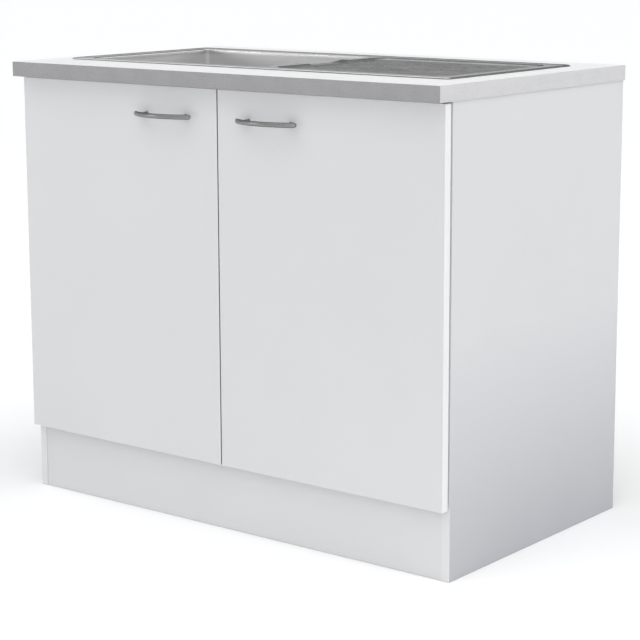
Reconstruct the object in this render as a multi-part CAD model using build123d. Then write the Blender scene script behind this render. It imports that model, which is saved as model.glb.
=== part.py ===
from build123d import *
import math
import os

# A two-door kitchen sink unit: a white board cabinet, a grey worktop and an inset steel sink
# with its bowl on the left and its drainer on the right.
# Frame: x to the right, y to the back, z up. The origin is on the floor, under the middle of
# the worktop. Every length is in millimetres, every angle in degrees.

# ------------------------------------------------------------------ worktop
worktop_length = 1000.0
worktop_depth = 600.0
unit_height = 850.0  # floor to the top of the worktop
core_thickness = 27.2
laminate_thickness = 0.8
edge_band_thickness = 1.0

# ------------------------------------------------------------------ cabinet boards
board = 16.0  # thickness of every cabinet board
side_overhang = 3.0  # worktop past each side panel
back_overhang = 2.0  # worktop past the back of the cabinet
plinth_height = 130.0
plinth_recess = 1.0  # plinth board behind the side panels' front edges
top_rail_height = 80.0
bottom_rail_height = 80.0

# ------------------------------------------------------------------ doors
door_thickness = 16.0
door_setback = 24.0  # worktop front edge to door face
door_standoff = 3.0  # air between door and cabinet
door_side_reveal = 1.5  # side panel's outer face to door edge
door_middle_gap = 3.0
door_top_gap = 3.0
door_drop = 3.0  # door below the top of the plinth board
door_edge_radius = 1.0
bumper_radius = 4.0
bumper_inset = 18.0  # door edge to bumper centre, along the width
bumper_clearance = 0.3

# ------------------------------------------------------------------ bow handles
handle_length = 137.0
handle_hole_spacing = 96.0
handle_end_standoff = 10.0  # door face to the bar's centre line at its ends
handle_middle_standoff = 32.0  # the same, at its middle
handle_bar_height = 9.0
handle_bar_depth = 6.4
handle_tip_height = 10.0  # diameter of the curve that rounds the bar's ends
handle_post_radius = 4.0
handle_drop = 52.0  # door top to handle centre
handle_from_door_edge = 121.0  # door's free edge to handle centre
handle_thread_depth = 12.0

# ------------------------------------------------------------------ concealed hinges
hinge_inset = 90.0  # door end to hinge centre
cup_radius = 17.5
cup_depth = 12.5
cup_wall = 0.8
cup_edge_distance = 3.0  # door edge to cup
cup_screw_spacing = 48.0
cup_screw_offset = 6.0  # cup centre to the line of its screws
cup_flange_thickness = 1.0
cup_flange_overhang = 6.0  # flange past the screw centres
cup_lug_thickness = 2.0
hinge_axis_inset = 7.0  # door edge to hinge axis
hinge_axis_depth = 9.0  # door's rear face to hinge axis
hinge_pin_radius = 1.5
knuckle_radius = 2.4
knuckle_width = 9.0
arm_thickness = 3.0
arm_neck_reach = 11.5  # hinge axis to the near face of the arm's neck
arm_body_width = 14.0
arm_end = 62.0  # panel front edge to the arm's rear end
plate_screw_line = 37.0  # panel front edge to the plate's screws
plate_screw_spacing = 32.0
plate_thickness = 2.0
plate_length = 36.0
plate_width = 18.0

# ------------------------------------------------------------------ board fittings
dowel_radius = 4.0
dowel_length = 30.0
side_bore_depth = 11.0
fitting_spacing = 32.0  # dowel to connecting bolt
fitting_edge = 40.0  # outermost fitting to the edge of the bottom board
cam_radius = 7.5
cam_depth = 12.5
cam_distance = 24.0  # board end to cam centre
bolt_radius = 3.0
fitting_clearance = 0.1

# ------------------------------------------------------------------ wood screws and brackets
wood_screw_radius = 1.75
wood_screw_length = 14.0
wood_screw_head_radius = 3.5
wood_screw_head_height = 1.6
machine_screw_radius = 2.0
machine_screw_head_radius = 4.0
machine_screw_head_height = 2.2
bracket_leg = 28.0
bracket_width = 20.0
bracket_thickness = 2.0
bracket_front_distance = 85.0  # worktop front edge to front bracket centre
bracket_back_distance = 35.0  # worktop back edge to rear bracket centre

# ------------------------------------------------------------------ sink
sink_left_margin = 38.0  # worktop left edge to sink
sink_right_margin = 62.0  # worktop right edge to sink
sink_front_margin = 116.0  # worktop front edge to sink
sink_back_margin = 84.0  # worktop back edge to sink
sink_corner_radius = 12.0
sink_sheet = 1.0
rim_height = 3.0
rim_width = 14.0
cutout_inset = 10.0  # sink edge to cut-out edge
bowl_length = 430.0
bowl_depth = 155.0
bowl_left_margin = 32.0  # sink's left edge to bowl
bowl_side_margin = 30.0  # sink's front and back edges to bowl
bowl_corner_radius = 10.0
bowl_floor_radius = 10.0
pan_margin = 30.0  # sink edge to drainer pan
pan_bowl_land = 24.0  # bowl to drainer pan
pan_depth = 6.0
pan_corner_radius = 28.0
pan_wall_angle = 40.0
rib_count = 13
rib_pitch = 25.0
rib_width = 9.0
rib_height = 2.5
rib_end_margin = 14.0  # pan edge to rib end
rib_wall_angle = 30.0
channel_width = 120.0
channel_depth = 4.0
seal_clearance = 0.2
clip_thickness = 2.0
clip_width = 20.0
clip_gap = 3.5  # cut-out edge to clip
clip_reach = 16.0  # clip's foot past the cut-out edge
clip_drop = 8.0  # worktop underside to clip foot
clip_edge_distance = 110.0  # sink corner to clip centre

# ------------------------------------------------------------------ waste, overflow and trap
strainer_radius = 42.0
strainer_flange_radius = 57.0
strainer_flange_thickness = 1.5
strainer_depth = 38.0
strainer_wall = 1.0
strainer_hole_radius = 3.0
gasket_thickness = 3.0
housing_wall = 2.5
housing_flange_thickness = 4.0
housing_clearance = 1.5  # strainer cup to housing wall
housing_depth = 44.0
waste_screw_radius = 3.0
waste_screw_head_radius = 6.0
waste_screw_head_height = 2.5
basket_clearance = 0.6
basket_height = 28.0
basket_lift = 0.3
stopper_radius = 31.0
stopper_thickness = 5.0
stopper_recess_margin = 1.5  # screw head to the side of the recess over it
stopper_recess_headroom = 0.5
knob_radius = 9.0
knob_height = 8.0
pipe_radius = 20.0
pipe_wall = 2.0
pipe_clearance = 0.3
collar_wall = 3.2
collar_length = 22.0
pipe_insertion = 19.0
nut_length = 24.0
nut_radius = 29.0
nut_lip = 4.0
nut_rib_count = 16
seal_ring_length = 3.0
tail_pipe_length = 100.0
trap_radius = 45.0
outlet_radius = 40.0
outlet_rise = 6.0  # nut to the start of the outlet's bend
overflow_drop = 60.0  # sink top to overflow centre
overflow_hole_radius = 16.0
overflow_plate_radius = 30.0
overflow_plate_thickness = 2.5
overflow_slot_height = 4.0
overflow_slot_offset = 6.0  # plate centre to the near edge of each slot
drum_radius = 25.0
drum_length = 28.0
drum_wall = 2.0
spigot_radius = 11.0
spigot_bore_radius = 9.0
spigot_length = 30.0
hose_clearance = 0.1
hose_wall = 1.5
hose_rib_height = 2.0
hose_rib_pitch = 6.0
hose_bend_radius = 50.0
hose_cuff = 28.0

# ------------------------------------------------------------------ places worked out from these
worktop_right = worktop_length / 2
worktop_left = -worktop_right
worktop_back = worktop_depth / 2
worktop_front = -worktop_back
worktop_underside = unit_height - core_thickness - laminate_thickness

side_outer = worktop_right - side_overhang
side_inner = side_outer - board
cabinet_back = worktop_back - back_overhang
door_face = worktop_front + door_setback
door_rear = door_face + door_thickness
cabinet_front = door_rear + door_standoff
bottom_panel_top = plinth_height + board

door_bottom = plinth_height - door_drop
door_top = worktop_underside - door_top_gap
door_outer_edge = side_outer - door_side_reveal
door_inner_edge = door_middle_gap / 2

sink_left = worktop_left + sink_left_margin
sink_right = worktop_right - sink_right_margin
sink_back = worktop_back - sink_back_margin
sink_front = worktop_front + sink_front_margin
deck_top = unit_height + sink_sheet
bowl_left = sink_left + bowl_left_margin
bowl_right = bowl_left + bowl_length
bowl_middle_x = (bowl_left + bowl_right) / 2
bowl_back = sink_back - bowl_side_margin
bowl_front = sink_front + bowl_side_margin
bowl_middle_y = (bowl_front + bowl_back) / 2
bowl_floor = deck_top - bowl_depth
pan_left = bowl_right + pan_bowl_land
pan_right = sink_right - pan_margin

RIGHT = (1, 0, 0)
LEFT = (-1, 0, 0)
BACK = (0, 1, 0)
FRONT = (0, -1, 0)
UP = (0, 0, 1)
DOWN = (0, 0, -1)

pieces = {}


# ------------------------------------------------------------------ shapes used again and again
def block(x, y, z):
    """A box between a low and a high value along each axis."""
    size = Box(x[1] - x[0], y[1] - y[0], z[1] - z[0])
    return Pos((x[0] + x[1]) / 2, (y[0] + y[1]) / 2, (z[0] + z[1]) / 2) * size


def rounded_slab(x, y, z, radius, taper=0.0):
    """A flat slab with round corners, cut down from its top face; taper narrows it downwards."""
    outline = RectangleRounded(x[1] - x[0], y[1] - y[0], radius)
    slab = extrude(outline, z[1] - z[0], taper=taper)
    turned = Rot(180, 0, 0) * slab
    return Pos((x[0] + x[1]) / 2, (y[0] + y[1]) / 2, z[1]) * turned


def grown(span, margin):
    """A low and a high value, both moved outwards by a margin."""
    return (span[0] - margin, span[1] + margin)


def rod(start, direction, radius, length):
    """A round bar from a point along a direction."""
    bar = Cylinder(radius, length, align=(Align.CENTER, Align.CENTER, Align.MIN))
    return Plane(origin=start, z_dir=direction) * bar


def tube(start, direction, outer_radius, inner_radius, length):
    """A straight pipe from a point along a direction."""
    wall = rod(start, direction, outer_radius, length)
    return wall - rod(start, direction, inner_radius, length)


def along(start, direction, distance):
    """The point at a distance from another one."""
    return tuple(s + d * distance for s, d in zip(start, direction))


def screw(seat, direction, radius, length, head_radius, head_height):
    """A pan-head screw whose head sits on the point seat, with a cross recess."""
    shank = rod(seat, direction, radius, length)
    outwards = tuple(-d for d in direction)
    head = rod(seat, outwards, head_radius, head_height)
    top = Plane(origin=along(seat, outwards, head_height), z_dir=outwards)
    slot_length = head_radius
    slot_width = head_radius / 4
    recess = Box(slot_length, slot_width, head_height) + Box(slot_width, slot_length, head_height)
    return shank + head - top * recess


def wood_screw(seat, direction):
    """A short wood screw."""
    return screw(seat, direction, wood_screw_radius, wood_screw_length,
                 wood_screw_head_radius, wood_screw_head_height)


def pilot_hole(seat, direction, depth):
    """The hole that a wood screw fills, down to its tip."""
    return rod(seat, direction, wood_screw_radius + fitting_clearance, depth + fitting_clearance)


def mirrored(shape):
    """The same shape on the other side of the middle plane."""
    return mirror(shape, about=Plane.YZ)


def group(solids):
    """Several separate solids of one kind."""
    return Compound(children=list(solids))


# ------------------------------------------------------------------ cabinet boards
side_panel_right = block((side_inner, side_outer), (cabinet_front, cabinet_back), (0, worktop_underside))
side_panel_left = mirrored(side_panel_right)
between_sides = (-side_inner, side_inner)
bottom_panel = block(between_sides, (cabinet_front, cabinet_back), (plinth_height, bottom_panel_top))
plinth_front = cabinet_front + plinth_recess
plinth_board = block(between_sides, (plinth_front, plinth_front + board), (0, plinth_height))
top_rail_z = (worktop_underside - top_rail_height, worktop_underside)
front_top_rail = block(between_sides, (cabinet_front, cabinet_front + board), top_rail_z)
rear_rail_y = (cabinet_back - board, cabinet_back)
rear_top_rail = block(between_sides, rear_rail_y, top_rail_z)
bottom_rail_z = (bottom_panel_top, bottom_panel_top + bottom_rail_height)
rear_bottom_rail = block(between_sides, rear_rail_y, bottom_rail_z)

# ------------------------------------------------------------------ dowels, cams and bolts
# Each board end has dowels and cam bolts that reach into the side panel. A cam's bore opens on
# the hidden face of its board.
dowels = []
cam_discs = []
cam_bolts = []


def dowel_joint(panel, board_solid, side, y, z):
    """One dowel between a side panel and a board end; returns both boards with their bores."""
    outwards = (side, 0, 0)
    start = (side * (side_inner - dowel_length + side_bore_depth), y, z)
    dowels.append(rod(start, outwards, dowel_radius, dowel_length))
    first = along(start, outwards, -fitting_clearance)
    bore = rod(first, outwards, dowel_radius + fitting_clearance, dowel_length + 2 * fitting_clearance)
    return panel - bore, board_solid - bore


def cam_joint(panel, board_solid, side, y, z, face, face_distance):
    """One cam and bolt; face is the way the cam's bore opens, face_distance how far that face is."""
    outwards = (side, 0, 0)
    centre = (side * (side_inner - cam_distance), y, z)
    mouth = along(centre, face, face_distance)
    inwards = tuple(-f for f in face)
    disc = rod(mouth, inwards, cam_radius, cam_depth)
    bolt_length = cam_distance - cam_radius / 2 + side_bore_depth
    bolt_start = along(centre, outwards, cam_radius / 2)
    bolt = rod(bolt_start, outwards, bolt_radius, bolt_length)
    loose = rod(centre, outwards, bolt_radius + fitting_clearance, cam_distance + side_bore_depth)
    cam_discs.append(disc - loose)
    cam_bolts.append(bolt)
    disc_bore = rod(mouth, inwards, cam_radius + fitting_clearance, cam_depth + fitting_clearance)
    return panel - loose, board_solid - loose - disc_bore


side_panels = {-1: side_panel_left, 1: side_panel_right}
half_board = board / 2
board_depth_middle = (cabinet_front + cabinet_back) / 2
bottom_panel_z = plinth_height + half_board
plinth_y = plinth_front + half_board
front_rail_y = cabinet_front + half_board
rear_rail_middle = cabinet_back - half_board
rail_z = worktop_underside - top_rail_height / 2
low_rail_z = bottom_panel_top + bottom_rail_height / 2
plinth_z = plinth_height / 2
half_spacing = fitting_spacing / 2

for side in (-1, 1):
    panel = side_panels[side]
    for end, towards in ((cabinet_front + fitting_edge, 1), (cabinet_back - fitting_edge, -1)):
        panel, bottom_panel = dowel_joint(panel, bottom_panel, side, end, bottom_panel_z)
        bolt_y = end + towards * fitting_spacing
        panel, bottom_panel = cam_joint(panel, bottom_panel, side, bolt_y, bottom_panel_z, DOWN, half_board)
    panel, plinth_board = dowel_joint(panel, plinth_board, side, plinth_y, plinth_z - half_spacing)
    panel, plinth_board = cam_joint(panel, plinth_board, side, plinth_y, plinth_z + half_spacing,
                                    BACK, half_board)
    panel, front_top_rail = dowel_joint(panel, front_top_rail, side, front_rail_y, rail_z - half_spacing)
    panel, front_top_rail = cam_joint(panel, front_top_rail, side, front_rail_y, rail_z + half_spacing,
                                      BACK, half_board)
    panel, rear_top_rail = dowel_joint(panel, rear_top_rail, side, rear_rail_middle, rail_z - half_spacing)
    panel, rear_top_rail = cam_joint(panel, rear_top_rail, side, rear_rail_middle, rail_z + half_spacing,
                                     FRONT, half_board)
    panel, rear_bottom_rail = dowel_joint(panel, rear_bottom_rail, side, rear_rail_middle,
                                          low_rail_z - half_spacing)
    panel, rear_bottom_rail = cam_joint(panel, rear_bottom_rail, side, rear_rail_middle,
                                        low_rail_z + half_spacing, FRONT, half_board)
    side_panels[side] = panel

pieces["dowels"] = group(dowels)
pieces["cam_discs"] = group(cam_discs)
pieces["cam_bolts"] = group(cam_bolts)
pieces["plinth_board"] = plinth_board
pieces["bottom_panel"] = bottom_panel
pieces["front_top_rail"] = front_top_rail
pieces["rear_top_rail"] = rear_top_rail
pieces["rear_bottom_rail"] = rear_bottom_rail

# ------------------------------------------------------------------ worktop
# A chipboard core with a laminate sheet on top and three thin edge bands; its back edge is bare.
core_x = (worktop_left + edge_band_thickness, worktop_right - edge_band_thickness)
core_y = (worktop_front + edge_band_thickness, worktop_back)
core_top = unit_height - laminate_thickness
worktop_core = block(core_x, core_y, (worktop_underside, core_top))
worktop_laminate = block(core_x, core_y, (core_top, unit_height))
full_edge = (worktop_underside, unit_height)
pieces["worktop_front_band"] = block((worktop_left, worktop_right), (worktop_front, core_y[0]), full_edge)
pieces["worktop_right_band"] = block((core_x[1], worktop_right), core_y, full_edge)
pieces["worktop_left_band"] = mirrored(pieces["worktop_right_band"])

cutout_x = (sink_left + cutout_inset, sink_right - cutout_inset)
cutout_y = (sink_front + cutout_inset, sink_back - cutout_inset)
cutout = rounded_slab(cutout_x, cutout_y, full_edge, sink_corner_radius)
worktop_core = worktop_core - cutout
pieces["worktop_laminate"] = worktop_laminate - cutout

# Steel angles hold the worktop to the side panels, clear of the cut-out.
brackets = []
cabinet_screws = []
bracket_places = (worktop_front + bracket_front_distance, worktop_back - bracket_back_distance)
for side in (-1, 1):
    face = side * side_inner
    inner = side * (side_inner - bracket_leg)
    skin = side * (side_inner - bracket_thickness)
    for y in bracket_places:
        width = (y - bracket_width / 2, y + bracket_width / 2)
        upright = block(sorted((face, skin)), width, (worktop_underside - bracket_leg, worktop_underside))
        flat = block(sorted((face, inner)), width, (worktop_underside - bracket_thickness, worktop_underside))
        side_seat = (skin, y, worktop_underside - bracket_leg * 0.6)
        top_seat = (side * (side_inner - bracket_leg * 0.6), y, worktop_underside - bracket_thickness)
        outwards = (side, 0, 0)
        side_hole = pilot_hole(side_seat, outwards, wood_screw_length)
        top_hole = pilot_hole(top_seat, UP, wood_screw_length)
        brackets.append(upright + flat - side_hole - top_hole)
        cabinet_screws.append(wood_screw(side_seat, outwards))
        cabinet_screws.append(wood_screw(top_seat, UP))
        side_panels[side] = side_panels[side] - side_hole
        worktop_core = worktop_core - top_hole
pieces["worktop_core"] = worktop_core
pieces["worktop_brackets"] = group(brackets)

# ------------------------------------------------------------------ sink deck
# Pressed sheet: a raised rim all round, a level deck, a sunk drainer pan with ribs, and a shallow
# channel that drains the pan into the bowl.
sink_x = (sink_left, sink_right)
sink_y = (sink_front, sink_back)
rim_top = unit_height + rim_height
inner_radius = 2.0  # smallest corner that the narrower outlines keep


def sink_outline(inset, z):
    """A slab with the sink's outline, moved inwards."""
    radius = max(sink_corner_radius - inset, inner_radius)
    return rounded_slab(grown(sink_x, -inset), grown(sink_y, -inset), z, radius)


rim = sink_outline(0, (unit_height, rim_top)) - sink_outline(rim_width, (unit_height, rim_top))
rim_hollow = sink_outline(sink_sheet, (unit_height, rim_top - sink_sheet))
rim_hollow = rim_hollow - sink_outline(rim_width - sink_sheet, (unit_height, rim_top - sink_sheet))
deck = sink_outline(rim_width - sink_sheet, (unit_height, deck_top)) + (rim - rim_hollow)

pan_x = (pan_left, pan_right)
pan_y = (sink_front + pan_margin, sink_back - pan_margin)
pan_floor = deck_top - pan_depth
pan_hollow = rounded_slab(pan_x, pan_y, (pan_floor, deck_top), pan_corner_radius, pan_wall_angle)
pan_shell = rounded_slab(grown(pan_x, sink_sheet), grown(pan_y, sink_sheet),
                         (pan_floor - sink_sheet, deck_top), pan_corner_radius + sink_sheet, pan_wall_angle)

channel_x = (bowl_right - pan_bowl_land / 2, pan_left + pan_bowl_land / 2)
channel_y = (bowl_middle_y - channel_width / 2, bowl_middle_y + channel_width / 2)
channel_floor = deck_top - channel_depth
channel_hollow = block(channel_x, channel_y, (channel_floor, deck_top))
channel_shell = block((bowl_right, channel_x[1]), grown(channel_y, sink_sheet),
                      (channel_floor - sink_sheet, deck_top))

bowl_x = (bowl_left, bowl_right)
bowl_y = (bowl_front, bowl_back)
deck_hole = rounded_slab(bowl_x, bowl_y, (unit_height, deck_top), bowl_corner_radius)
deck = deck - deck_hole + channel_shell + pan_shell - pan_hollow - channel_hollow

rib_outline = SlotOverall(pan_right - pan_left - 2 * rib_end_margin, rib_width)
rib = extrude(rib_outline, rib_height, taper=rib_wall_angle)
for number in range(rib_count):
    rib_y = bowl_middle_y + (number - (rib_count - 1) / 2) * rib_pitch
    deck = deck + Pos((pan_left + pan_right) / 2, rib_y, pan_floor) * rib
pieces["sink_deck"] = deck

seal = sink_outline(sink_sheet + seal_clearance, (unit_height, rim_top - sink_sheet))
seal = seal - sink_outline(rim_width - sink_sheet - seal_clearance, (unit_height, rim_top - sink_sheet))
pieces["sink_seal"] = seal

# ------------------------------------------------------------------ sink bowl
bowl_outside = rounded_slab(grown(bowl_x, sink_sheet), grown(bowl_y, sink_sheet),
                            (bowl_floor - sink_sheet, unit_height), bowl_corner_radius + sink_sheet)
bowl_outside = fillet(bowl_outside.faces().sort_by(Axis.Z)[0].edges(), bowl_floor_radius + sink_sheet)
bowl_inside = rounded_slab(bowl_x, bowl_y, (bowl_floor, unit_height), bowl_corner_radius)
bowl_inside = fillet(bowl_inside.faces().sort_by(Axis.Z)[0].edges(), bowl_floor_radius)
waste_hole = rod((bowl_middle_x, bowl_middle_y, bowl_floor), DOWN, strainer_radius + fitting_clearance,
                 sink_sheet)
overflow_z = deck_top - overflow_drop
overflow_centre = (bowl_middle_x, bowl_back, overflow_z)
overflow_hole = rod(overflow_centre, BACK, overflow_hole_radius, sink_sheet)
channel_gap = block((bowl_right, bowl_right + sink_sheet), grown(channel_y, sink_sheet),
                    (channel_floor - sink_sheet, unit_height))
pieces["sink_bowl"] = bowl_outside - bowl_inside - waste_hole - overflow_hole - channel_gap

# ------------------------------------------------------------------ sink clips
# Each clip hangs under the deck inside the cut-out; its screw pulls its foot up to the worktop.
clips = []
clip_screws = []
foot_z = worktop_underside - clip_drop
clip_places = []
for x in (sink_left + clip_edge_distance, sink_right - clip_edge_distance):
    clip_places.append((x, cutout_y[0], FRONT))
    clip_places.append((x, cutout_y[1], BACK))
clip_places.append((cutout_x[0], bowl_middle_y, LEFT))
clip_places.append((cutout_x[1], bowl_middle_y, RIGHT))
for x, y, outwards in clip_places:
    edge = Plane(origin=(x, y, 0), x_dir=outwards, z_dir=UP)
    half_width = clip_width / 2
    leg = block((-clip_gap - clip_thickness, -clip_gap), (-half_width, half_width),
                (foot_z - clip_thickness, unit_height))
    foot = block((-clip_gap - clip_thickness, clip_reach), (-half_width, half_width),
                 (foot_z - clip_thickness, foot_z))
    seat = (clip_reach / 2, 0, foot_z - clip_thickness)
    hole = rod(seat, UP, machine_screw_radius + fitting_clearance, clip_thickness)
    clips.append(edge * (leg + foot - hole))
    clip_screws.append(edge * screw(seat, UP, machine_screw_radius,
                                    clip_drop + clip_thickness - fitting_clearance,
                                    machine_screw_head_radius, machine_screw_head_height))
pieces["sink_clips"] = group(clips)
pieces["sink_clip_screws"] = group(clip_screws)

# ------------------------------------------------------------------ waste
# The strainer cup hangs by its flange in the bowl's floor, and a screw through its bottom pulls
# the housing up against a gasket under the bowl.
waste_x = bowl_middle_x
waste_y = bowl_middle_y


def on_waste(z):
    """A point on the waste's axis."""
    return (waste_x, waste_y, z)


strainer_floor = bowl_floor - strainer_depth
cup_top = bowl_floor + strainer_flange_thickness
strainer_cup = rod(on_waste(bowl_floor), UP, strainer_flange_radius, strainer_flange_thickness)
strainer_cup = strainer_cup + rod(on_waste(bowl_floor), DOWN, strainer_radius, strainer_depth + strainer_wall)
strainer_cup = strainer_cup - rod(on_waste(cup_top), DOWN, strainer_radius - strainer_wall,
                                  strainer_depth + strainer_flange_thickness)
strainer_cup = strainer_cup - rod(on_waste(strainer_floor), DOWN, waste_screw_radius + fitting_clearance,
                                  strainer_wall)
for ring_radius, holes in ((15.0, 8), (24.0, 12)):
    for number in range(holes):
        angle = 2 * math.pi * number / holes
        place = (waste_x + ring_radius * math.cos(angle), waste_y + ring_radius * math.sin(angle), strainer_floor)
        strainer_cup = strainer_cup - rod(place, DOWN, strainer_hole_radius, strainer_wall)
pieces["strainer_cup"] = strainer_cup

gasket_top = bowl_floor - sink_sheet
pieces["waste_gasket"] = tube(on_waste(gasket_top), DOWN, strainer_flange_radius,
                              strainer_radius + fitting_clearance, gasket_thickness)

housing_top = gasket_top - gasket_thickness
housing_bore = strainer_radius + housing_clearance
housing_radius = housing_bore + housing_wall
housing_bottom = housing_top - housing_depth
collar_bore = pipe_radius + pipe_clearance
collar_radius = collar_bore + collar_wall
pipe_bore = pipe_radius - pipe_wall
housing = rod(on_waste(housing_top), DOWN, strainer_flange_radius, housing_flange_thickness)
housing = housing + rod(on_waste(housing_top), DOWN, housing_radius, housing_depth)
housing = housing - rod(on_waste(housing_top), DOWN, housing_bore, housing_depth - housing_wall)
housing = housing + rod(on_waste(housing_bottom), DOWN, collar_radius, collar_length)
housing = housing - rod(on_waste(housing_bottom), DOWN, collar_bore, collar_length)
housing = housing - rod(on_waste(housing_bottom + housing_wall), DOWN, pipe_bore, housing_wall)
inlet_z = housing_bottom + spigot_radius + housing_wall
inlet_start = (waste_x, waste_y + housing_radius - housing_wall / 2, inlet_z)
inlet_length = spigot_length + housing_wall / 2
housing = housing + rod(inlet_start, BACK, spigot_radius, inlet_length)
inlet_bore_start = (waste_x, waste_y + housing_bore - housing_wall, inlet_z)
housing = housing - rod(inlet_bore_start, BACK, spigot_bore_radius, inlet_length + 2 * housing_wall)
bridge_width = 3 * waste_screw_radius
bridge_top = strainer_floor - strainer_wall - fitting_clearance
bridge = block((waste_x - housing_bore, waste_x + housing_bore),
               (waste_y - bridge_width / 2, waste_y + bridge_width / 2), (housing_bottom, bridge_top))
screw_bore = rod(on_waste(bridge_top), DOWN, waste_screw_radius + fitting_clearance,
                 bridge_top - housing_bottom)
housing = housing + bridge - screw_bore
pieces["waste_housing"] = housing
waste_screw_length = strainer_floor - housing_bottom
pieces["waste_screw"] = screw(on_waste(strainer_floor), DOWN, waste_screw_radius, waste_screw_length,
                              waste_screw_head_radius, waste_screw_head_height)

# ------------------------------------------------------------------ lift-out basket
stopper_bottom = strainer_floor + basket_lift
stopper_top = stopper_bottom + stopper_thickness
basket_radius = strainer_radius - strainer_wall - basket_clearance
basket_top = stopper_top + basket_height
stem_radius = waste_screw_radius
stopper = rod(on_waste(stopper_bottom), UP, stopper_radius, stopper_thickness)
stopper = stopper - rod(on_waste(stopper_bottom), UP, waste_screw_head_radius + stopper_recess_margin,
                        waste_screw_head_height + stopper_recess_headroom)
pieces["basket_stopper"] = stopper
basket = tube(on_waste(stopper_top), UP, basket_radius, basket_radius - strainer_wall, basket_height)
basket = basket + rod(on_waste(stopper_top), UP, basket_radius, strainer_wall)
basket = basket - rod(on_waste(stopper_top), UP, stem_radius, strainer_wall)
for ring_radius, holes in ((16.0, 8), (25.0, 14), (34.0, 20)):
    for number in range(holes):
        angle = 2 * math.pi * number / holes
        place = (waste_x + ring_radius * math.cos(angle), waste_y + ring_radius * math.sin(angle), stopper_top)
        basket = basket - rod(place, UP, strainer_hole_radius * 0.7, strainer_wall)
pieces["basket"] = basket
knob_bottom = basket_top - knob_height / 2
knob = rod(on_waste(stopper_top), UP, stem_radius, knob_bottom - stopper_top)
knob_head = rod(on_waste(knob_bottom), UP, knob_radius, knob_height)
knob_head = fillet(knob_head.edges().filter_by(GeomType.CIRCLE), knob_height / 4)
pieces["basket_knob"] = knob + knob_head

# ------------------------------------------------------------------ overflow
plate_front = bowl_back - overflow_plate_thickness
overflow_plate = rod(overflow_centre, FRONT, overflow_plate_radius, overflow_plate_thickness)
overflow_plate = fillet(overflow_plate.faces().sort_by(Axis.Y)[0].edges(), overflow_plate_thickness * 0.6)
plate_screw_hole = rod(overflow_centre, FRONT, machine_screw_radius + fitting_clearance,
                       overflow_plate_thickness)
overflow_plate = overflow_plate - plate_screw_hole
slot_far_edge = overflow_slot_offset + overflow_slot_height
for row in (-1, 1):
    slot = block((bowl_middle_x - overflow_hole_radius / 2, bowl_middle_x + overflow_hole_radius / 2),
                 (plate_front, bowl_back),
                 sorted((overflow_z + row * overflow_slot_offset, overflow_z + row * slot_far_edge)))
    overflow_plate = overflow_plate - slot
pieces["overflow_plate"] = overflow_plate

drum_front = bowl_back + sink_sheet + gasket_thickness
drum_start = (bowl_middle_x, drum_front, overflow_z)
pieces["overflow_gasket"] = tube((bowl_middle_x, bowl_back + sink_sheet, overflow_z), BACK, drum_radius,
                                 overflow_hole_radius, gasket_thickness)
drum = rod(drum_start, BACK, drum_radius, drum_length)
drum = drum - rod(drum_start, BACK, overflow_hole_radius, drum_length - drum_wall)
drop_y = drum_front + drum_length / 2
drop_top = overflow_z - drum_radius
drop_start = (bowl_middle_x, drop_y, overflow_z - overflow_hole_radius)
drop_length = spigot_length + drum_radius - overflow_hole_radius
drum = drum + rod(drop_start, DOWN, spigot_radius, drop_length)
drum = drum - rod((bowl_middle_x, drop_y, overflow_z), DOWN, spigot_bore_radius,
                  drop_length + overflow_hole_radius)
post_start = (bowl_middle_x, drum_front, overflow_z)
post = rod(post_start, BACK, 2 * machine_screw_radius, drum_length)
overflow_screw_length = drum_front - bowl_back + drum_length / 2
overflow_screw_seat = (bowl_middle_x, plate_front, overflow_z)
post = post - rod(post_start, BACK, machine_screw_radius + fitting_clearance, drum_length / 2)
pieces["overflow_elbow"] = drum + post
pieces["overflow_screw"] = screw(overflow_screw_seat, BACK, machine_screw_radius,
                                 overflow_screw_length, machine_screw_head_radius, machine_screw_head_height)

# ------------------------------------------------------------------ overflow hose
# A ribbed hose from the overflow's spigot down and forwards to the housing's side inlet, with a
# plain cuff at each end. Its centre line lies in one upright plane.
hose_bore = spigot_radius + hose_clearance
hose_root = hose_bore + hose_wall
hose_crest = hose_root + hose_rib_height
hose_top = drop_top - hose_clearance
hose_start = (bowl_middle_x, drop_y, hose_top)
inlet_mouth_y = waste_y + housing_radius + hose_clearance
down_length = hose_top - inlet_z - hose_bend_radius
level_length = drop_y - hose_bend_radius - inlet_mouth_y
bend_length = hose_bend_radius * math.pi / 2
hose_length = down_length + bend_length + level_length


def hose_plane(distance):
    """The plane square to the hose's centre line at a distance from its top end."""
    if distance <= down_length:
        return Plane(origin=(bowl_middle_x, drop_y, hose_top - distance), x_dir=RIGHT, z_dir=DOWN)
    if distance >= down_length + bend_length:
        past = distance - down_length - bend_length
        level_y = drop_y - hose_bend_radius - past
        return Plane(origin=(bowl_middle_x, level_y, inlet_z), x_dir=RIGHT, z_dir=FRONT)
    angle = (distance - down_length) / hose_bend_radius
    y = drop_y - hose_bend_radius * (1 - math.cos(angle))
    z = inlet_z + hose_bend_radius * (1 - math.sin(angle))
    return Plane(origin=(bowl_middle_x, y, z), x_dir=RIGHT, z_dir=(0, -math.sin(angle), -math.cos(angle)))


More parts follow.
